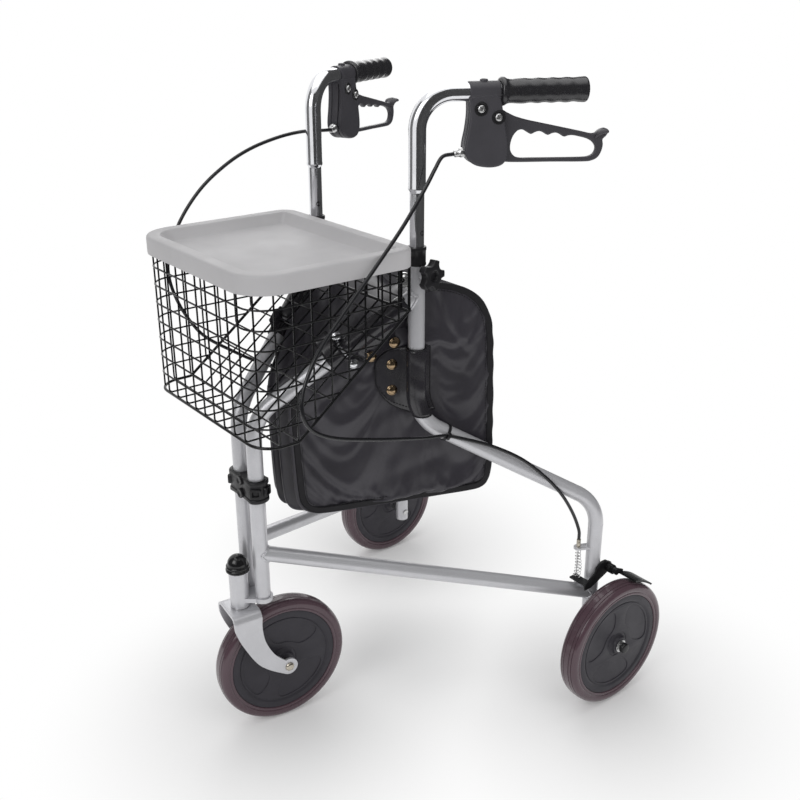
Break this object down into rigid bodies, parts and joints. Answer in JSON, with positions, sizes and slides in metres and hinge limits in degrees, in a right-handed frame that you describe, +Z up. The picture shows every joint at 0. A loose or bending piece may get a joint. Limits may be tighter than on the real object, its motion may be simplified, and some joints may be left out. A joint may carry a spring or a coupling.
{
  "type": "three wheel rollator",
  "caption": "Folding walking frame with a swivelling front wheel, braked rear wheels, height-adjustable handles with loop brake levers, wire basket, tray and cloth bag.",
  "frame": {"origin": "on the floor, under the middle of the wheelbase and of the width", "axes": "+Z up, -Y to the front, +X to the user's left"},
  "size_m": [0.6256, 0.6202, 0.9275],
  "materials": {
    "silver_paint": "satin silver-grey paint",
    "chrome": "bright chrome",
    "zinc": "zinc-plated steel",
    "nickel": "dull nickel-plated ferrule",
    "black_plastic": "black moulded plastic",
    "gloss_black": "glossy black plastic",
    "charcoal_plastic": "charcoal fine-grained plastic",
    "hub_plastic": "dark grey moulded nylon",
    "grip_rubber": "black speckled rubber",
    "tyre": "dark mauve-brown polyurethane",
    "tray_plastic": "light warm-grey moulded plastic",
    "black_wire": "black dip-coated wire",
    "black_steel": "black painted steel",
    "cable_sheath": "black cable sheath",
    "bag_cloth": "black woven nylon"
  },
  "bodies": {
    "front_head": {"head_bracket": "silver_paint", "stem_cap": "gloss_black", "clamp_front": "black_plastic", "clamp_back": "black_plastic", "head_fasteners": "zinc", "stem_bearings": "zinc", "bag": "bag_cloth"},
    "caster": {"fork": "silver_paint", "kingpin": "zinc", "front_axle": "zinc"},
    "front_wheel": {"front_tyre": "tyre", "front_hub": "hub_plastic"},
    "left_frame": {"left_front_tube": "silver_paint", "left_rear_tube": "silver_paint", "left_lower_bar": "silver_paint", "left_height_collar": "black_plastic", "left_cable_stop": "silver_paint", "left_cable_ferrule": "nickel", "left_return_spring": "zinc", "left_brake_cable": "cable_sheath", "left_cable_tie": "black_plastic", "left_basket_stud": "zinc", "left_brake_pivot": "black_steel", "left_rear_axle": "zinc"},
    "left_handle": {"left_handle_tube": "chrome", "left_grip": "grip_rubber", "left_brake_housing": "charcoal_plastic", "left_lever_bolts": "zinc", "left_cable_adjuster": "zinc"},
    "left_lever": {"left_brake_lever": "charcoal_plastic"},
    "left_knob": {"left_star_knob": "black_plastic"},
    "left_brake": {"left_brake_arm": "black_steel", "left_pull_wire": "zinc"},
    "left_wheel": {"left_tyre": "tyre", "left_hub": "hub_plastic"},
    "right_frame": {"right_front_tube": "silver_paint", "right_rear_tube": "silver_paint", "right_lower_bar": "silver_paint", "right_height_collar": "black_plastic", "right_cable_stop": "silver_paint", "right_cable_ferrule": "nickel", "right_return_spring": "zinc", "right_brake_cable": "cable_sheath", "right_cable_tie": "black_plastic", "right_basket_stud": "zinc", "right_brake_pivot": "black_steel", "right_rear_axle": "zinc"},
    "right_handle": {"right_handle_tube": "chrome", "right_grip": "grip_rubber", "right_brake_housing": "charcoal_plastic", "right_lever_bolts": "zinc", "right_cable_adjuster": "zinc"},
    "right_lever": {"right_brake_lever": "charcoal_plastic"},
    "right_knob": {"right_star_knob": "black_plastic"},
    "right_brake": {"right_brake_arm": "black_steel", "right_pull_wire": "zinc"},
    "right_wheel": {"right_tyre": "tyre", "right_hub": "hub_plastic"},
    "basket": {"basket": "black_wire"},
    "tray": {"tray": "tray_plastic"}
  },
  "joints": [
    {"name": "caster_swivel", "type": "hinge", "parent": "front_head", "child": "caster", "pos_m": [0, -0.268, 0.24], "axis": [0, 0, 1], "continuous": true},
    {"name": "front_wheel_spin", "type": "hinge", "parent": "caster", "child": "front_wheel", "pos_m": [0.00707, -0.21043, 0.1], "axis": [0.9925, -0.1219, 0], "continuous": true},
    {"name": "left_fold", "type": "hinge", "parent": "front_head", "child": "left_frame", "pos_m": [0.02, -0.241, 0.3], "axis": [0, 0, 1], "range_deg": [0, 22], "deforming": ["bag", "left_brake_cable", "right_brake_cable"]},
    {"name": "left_handle_height", "type": "slide", "parent": "left_frame", "child": "left_handle", "axis": [0, 0, 1], "range_m": [-0.053, 0.0265], "deforming": ["left_brake_cable"]},
    {"name": "left_lever_squeeze", "type": "hinge", "parent": "left_handle", "child": "left_lever", "pos_m": [0.16033, 0.04993, 0.8815], "axis": [0.9007, -0.4344, 0], "range_deg": [0, 14], "stiffness_Nm_per_rad": 1.5, "springref_deg": -4.58, "deforming": ["left_return_spring", "left_pull_wire", "left_brake_cable"]},
    {"name": "left_brake_press", "type": "hinge", "parent": "left_frame", "child": "left_brake", "pos_m": [0.25754, 0.229, 0.207], "axis": [-1, 0, 0], "range_deg": [0, 3.5], "deforming": ["left_return_spring", "left_pull_wire"]},
    {"name": "left_knob_turn", "type": "hinge", "parent": "left_frame", "child": "left_knob", "pos_m": [0.11688, -0.04014, 0.687], "axis": [0.984, 0.1779, 0], "range_deg": [-720, 0]},
    {"name": "left_wheel_spin", "type": "hinge", "parent": "left_frame", "child": "left_wheel", "pos_m": [0.2865, 0.21, 0.1], "axis": [1, 0, 0], "continuous": true},
    {"name": "right_fold", "type": "hinge", "parent": "front_head", "child": "right_frame", "pos_m": [-0.02, -0.241, 0.3], "axis": [0, 0, 1], "range_deg": [-22, 0], "deforming": ["bag", "left_brake_cable", "right_brake_cable"]},
    {"name": "right_handle_height", "type": "slide", "parent": "right_frame", "child": "right_handle", "axis": [0, 0, 1], "range_m": [-0.053, 0.0265], "deforming": ["right_brake_cable"]},
    {"name": "right_lever_squeeze", "type": "hinge", "parent": "right_handle", "child": "right_lever", "pos_m": [-0.16033, 0.04993, 0.8815], "axis": [0.9007, 0.4344, 0], "range_deg": [0, 14], "stiffness_Nm_per_rad": 1.5, "springref_deg": -4.58, "deforming": ["right_return_spring", "right_pull_wire", "right_brake_cable"]},
    {"name": "right_brake_press", "type": "hinge", "parent": "right_frame", "child": "right_brake", "pos_m": [-0.25754, 0.229, 0.207], "axis": [-1, 0, 0], "range_deg": [0, 3.5], "deforming": ["right_return_spring", "right_pull_wire"]},
    {"name": "right_knob_turn", "type": "hinge", "parent": "right_frame", "child": "right_knob", "pos_m": [-0.11688, -0.04014, 0.687], "axis": [-0.984, 0.1779, 0], "range_deg": [-720, 0]},
    {"name": "right_wheel_spin", "type": "hinge", "parent": "right_frame", "child": "right_wheel", "pos_m": [-0.2865, 0.21, 0.1], "axis": [1, 0, 0], "continuous": true},
    {"name": "basket_lift", "type": "slide", "parent": "front_head", "child": "basket", "axis": [0, 0, 1], "range_m": [0, 0.25], "deforming": ["left_brake_cable", "right_brake_cable"]},
    {"name": "tray_lift", "type": "slide", "parent": "basket", "child": "tray", "axis": [0, 0, 1], "range_m": [0, 0.15], "deforming": ["left_brake_cable", "right_brake_cable"]}
  ],
  "couplings": [
    {"joint": "left_brake_press", "follows": "left_lever_squeeze", "ratio": 0.25},
    {"joint": "right_brake_press", "follows": "right_lever_squeeze", "ratio": 0.25},
    {"joint": "right_fold", "follows": "left_fold", "ratio": -1}
  ]
}
